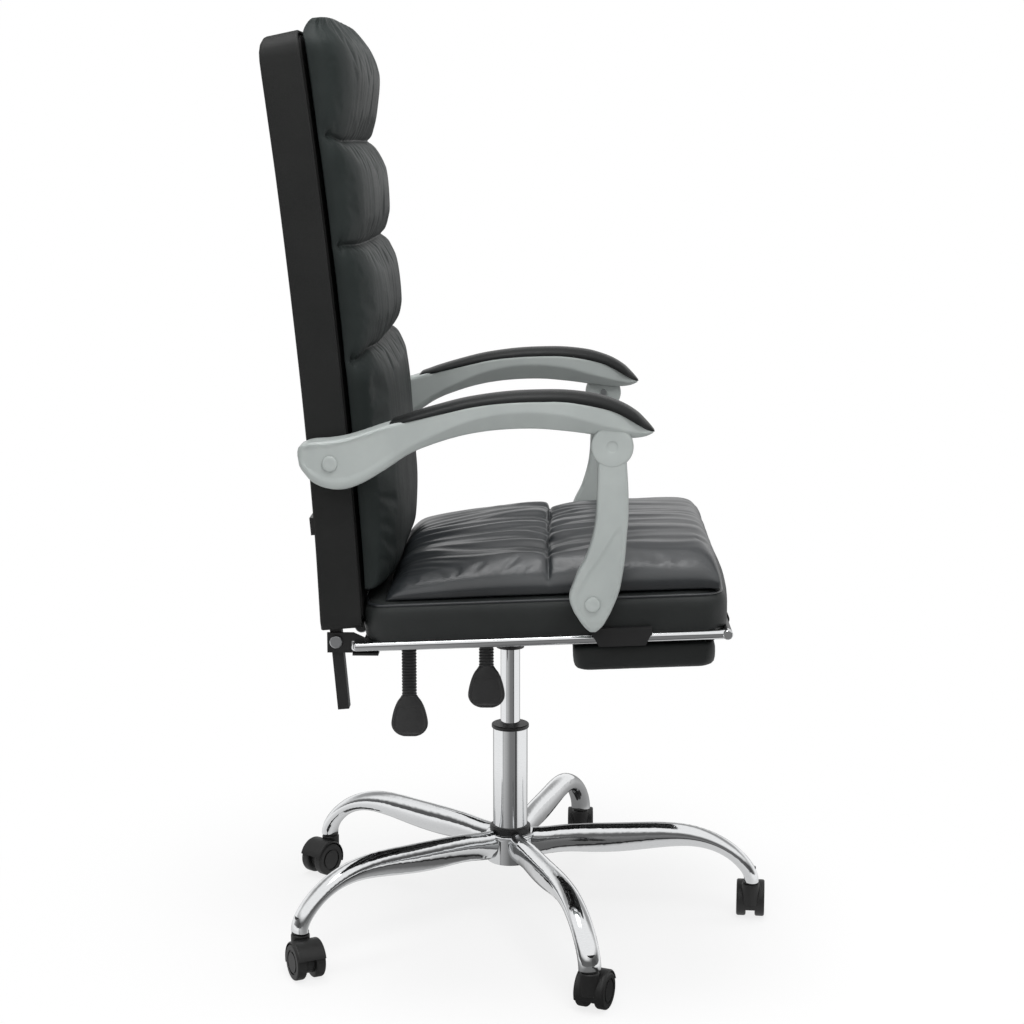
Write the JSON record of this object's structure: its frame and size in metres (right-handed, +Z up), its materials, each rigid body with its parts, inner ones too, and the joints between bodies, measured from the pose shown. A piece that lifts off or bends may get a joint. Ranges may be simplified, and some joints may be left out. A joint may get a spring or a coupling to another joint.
{
  "type": "reclining office chair",
  "caption": "High-back reclining office chair on a five-star caster base, with linkage armrests, two levers and a pull-out footrest.",
  "frame": {"origin": "on the floor on the axis of the gas lift", "axes": "+Z up, the chair faces -Y, the sitter's left hand side is +X"},
  "size_m": [0.7313, 0.7071, 1.2922],
  "materials": {
    "chrome": "polished",
    "steel": "satin",
    "black_metal": "satin",
    "black_plastic": "matte",
    "grey_plastic": "satin",
    "arm_pad_foam": "satin",
    "leather": "satin",
    "shell": "matte",
    "plywood": "raw"
  },
  "bodies": {
    "base": {"base_hub": "chrome", "base_arms": "chrome", "caster_sockets": "black_plastic", "base_collar": "black_plastic", "lift_outer_tube": "chrome", "lift_guide_bushing": "black_plastic", "lift_thrust_bearing": "steel"},
    "lift_piston": {"lift_piston_rod": "steel", "lift_rod_clip": "steel"},
    "seat": {"lift_cylinder": "chrome", "seat_mechanism": "black_metal", "mechanism_bolts": "steel", "seat_board": "plywood", "seat_base_cushion": "leather", "seat_pad": "leather", "seat_hinges": "black_metal", "pivot_bolts": "steel", "arm_brackets": "black_metal", "rail_guides": "black_plastic"},
    "release_button": {"lift_release_button": "steel"},
    "height_lever": {"height_lever_rod": "steel", "height_lever_handle": "black_plastic"},
    "recline_lever": {"recline_lever_rod": "steel", "recline_lever_handle": "black_plastic"},
    "back": {"back_side_bars": "black_metal", "back_crossbar": "black_metal", "back_board": "plywood", "back_shell": "shell", "back_cushion": "leather", "rear_fixing_plates": "black_plastic", "arm_bolts": "steel"},
    "lock_housing": {"lock_tube": "black_metal"},
    "lock_slider": {"lock_rod": "steel"},
    "footrest_slide": {"footrest_rails": "chrome", "footrest_crossbar": "chrome"},
    "footrest_pad": {"footrest_board": "plywood", "footrest_cushion": "leather"},
    "strut_link_right": {"strut_right": "grey_plastic", "knuckle_pin_right": "steel"},
    "armrest_right": {"arm_frame_right": "grey_plastic", "arm_pad_right": "arm_pad_foam"},
    "strut_link_left": {"strut_left": "grey_plastic", "knuckle_pin_left": "steel"},
    "armrest_left": {"arm_frame_left": "grey_plastic", "arm_pad_left": "arm_pad_foam"},
    "caster_swivel_front": {"caster_hood_front": "black_plastic", "caster_pins_front": "steel"},
    "caster_wheelset_front": {"caster_wheels_front": "black_plastic"},
    "caster_swivel_left_front": {"caster_hood_left_front": "black_plastic", "caster_pins_left_front": "steel"},
    "caster_wheelset_left_front": {"caster_wheels_left_front": "black_plastic"},
    "caster_swivel_left_rear": {"caster_hood_left_rear": "black_plastic", "caster_pins_left_rear": "steel"},
    "caster_wheelset_left_rear": {"caster_wheels_left_rear": "black_plastic"},
    "caster_swivel_right_rear": {"caster_hood_right_rear": "black_plastic", "caster_pins_right_rear": "steel"},
    "caster_wheelset_right_rear": {"caster_wheels_right_rear": "black_plastic"},
    "caster_swivel_right_front": {"caster_hood_right_front": "black_plastic", "caster_pins_right_front": "steel"},
    "caster_wheelset_right_front": {"caster_wheels_right_front": "black_plastic"}
  },
  "joints": [
    {"name": "seat_swivel", "type": "hinge", "parent": "base", "child": "lift_piston", "pos_m": [0, 0, 0.1], "axis": [0, 0, 1], "continuous": true},
    {"name": "seat_height", "type": "slide", "parent": "lift_piston", "child": "seat", "axis": [0, 0, 1], "range_m": [-0.1, 0]},
    {"name": "height_lever_lift", "type": "hinge", "parent": "seat", "child": "height_lever", "pos_m": [-0.0435, 0, 0.4723], "axis": [0, 1, 0], "range_deg": [0, 4], "stiffness_Nm_per_rad": 3, "springref_deg": -1.72},
    {"name": "release_button_press", "type": "slide", "parent": "seat", "child": "release_button", "axis": [0, 0, -1], "range_m": [0, 0.0035], "stiffness_N_per_m": 400, "springref_m": -0.001},
    {"name": "recline_lever_lift", "type": "hinge", "parent": "seat", "child": "recline_lever", "pos_m": [0.0235, 0.13, 0.462], "axis": [0, 1, 0], "range_deg": [0, 3], "stiffness_Nm_per_rad": 5, "springref_deg": -1.72},
    {"name": "recline", "type": "hinge", "parent": "seat", "child": "back", "pos_m": [0, 0.225, 0.473], "axis": [-1, 0, 0], "range_deg": [0, 30]},
    {"name": "lock_housing_turn", "type": "hinge", "parent": "seat", "child": "lock_housing", "pos_m": [0.075, 0.005, 0.448], "axis": [-1, 0, 0], "range_deg": [-1.6, 0]},
    {"name": "lock_rod_slide", "type": "slide", "parent": "lock_housing", "child": "lock_slider", "axis": [0, 0.9934, -0.1143], "range_m": [-0.0252, 0]},
    {"name": "footrest_pull", "type": "slide", "parent": "seat", "child": "footrest_slide", "axis": [0, -0.9991, 0.0419], "range_m": [0, 0.28]},
    {"name": "footrest_flip", "type": "hinge", "parent": "footrest_slide", "child": "footrest_pad", "pos_m": [0, -0.2911, 0.48969], "axis": [-1, 0, 0], "range_deg": [0, 180]},
    {"name": "strut_turn_right", "type": "hinge", "parent": "seat", "child": "strut_link_right", "pos_m": [-0.27, -0.113, 0.538], "axis": [-1, 0, 0], "range_deg": [0, 36]},
    {"name": "armrest_turn_right", "type": "hinge", "parent": "strut_link_right", "child": "armrest_right", "pos_m": [-0.283, -0.1365, 0.745], "axis": [-1, 0, 0], "range_deg": [-34.8, 0]},
    {"name": "strut_turn_left", "type": "hinge", "parent": "seat", "child": "strut_link_left", "pos_m": [0.27, -0.113, 0.538], "axis": [-1, 0, 0], "range_deg": [0, 36]},
    {"name": "armrest_turn_left", "type": "hinge", "parent": "strut_link_left", "child": "armrest_left", "pos_m": [0.283, -0.1365, 0.745], "axis": [-1, 0, 0], "range_deg": [-34.8, 0]},
    {"name": "caster_turn_front", "type": "hinge", "parent": "base", "child": "caster_swivel_front", "pos_m": [0.00307, -0.35199, 0.05], "axis": [0, 0, 1], "continuous": true},
    {"name": "caster_roll_front", "type": "hinge", "parent": "caster_swivel_front", "child": "caster_wheelset_front", "pos_m": [0.02298, -0.3539, 0.025], "axis": [0.0958, 0.9954, 0], "continuous": true},
    {"name": "caster_turn_left_front", "type": "hinge", "parent": "base", "child": "caster_swivel_left_front", "pos_m": [0.33571, -0.10585, 0.05], "axis": [0, 0, 1], "continuous": true},
    {"name": "caster_roll_left_front", "type": "hinge", "parent": "caster_swivel_left_front", "child": "caster_wheelset_left_front", "pos_m": [0.35571, -0.10609, 0.025], "axis": [0.0122, 0.9999, 0], "continuous": true},
    {"name": "caster_turn_left_rear", "type": "hinge", "parent": "base", "child": "caster_swivel_left_rear", "pos_m": [0.20441, 0.28657, 0.05], "axis": [0, 0, 1], "continuous": true},
    {"name": "caster_roll_left_rear", "type": "hinge", "parent": "caster_swivel_left_rear", "child": "caster_wheelset_left_rear", "pos_m": [0.18865, 0.29888, 0.025], "axis": [-0.6157, -0.788, 0], "continuous": true},
    {"name": "caster_turn_right_rear", "type": "hinge", "parent": "base", "child": "caster_swivel_right_rear", "pos_m": [-0.20938, 0.28296, 0.05], "axis": [0, 0, 1], "continuous": true},
    {"name": "caster_roll_right_rear", "type": "hinge", "parent": "caster_swivel_right_rear", "child": "caster_wheelset_right_rear", "pos_m": [-0.22704, 0.27357, 0.025], "axis": [0.4695, -0.8829, 0], "continuous": true},
    {"name": "caster_turn_right_front", "type": "hinge", "parent": "base", "child": "caster_swivel_right_front", "pos_m": [-0.33381, -0.11169, 0.05], "axis": [0, 0, 1], "continuous": true},
    {"name": "caster_roll_right_front", "type": "hinge", "parent": "caster_swivel_right_front", "child": "caster_wheelset_right_front", "pos_m": [-0.31527, -0.11918, 0.025], "axis": [0.3746, 0.9272, 0], "continuous": true}
  ],
  "couplings": [
    {"joint": "release_button_press", "follows": "height_lever_lift", "m_per_rad": 0.0445},
    {"joint": "lock_housing_turn", "follows": "recline", "ratio": -0.049},
    {"joint": "lock_rod_slide", "follows": "recline", "m_per_rad": -0.0479},
    {"joint": "strut_turn_right", "follows": "recline", "ratio": 1.196},
    {"joint": "armrest_turn_right", "follows": "recline", "ratio": -1.156},
    {"joint": "strut_turn_left", "follows": "recline", "ratio": 1.196},
    {"joint": "armrest_turn_left", "follows": "recline", "ratio": -1.156}
  ]
}
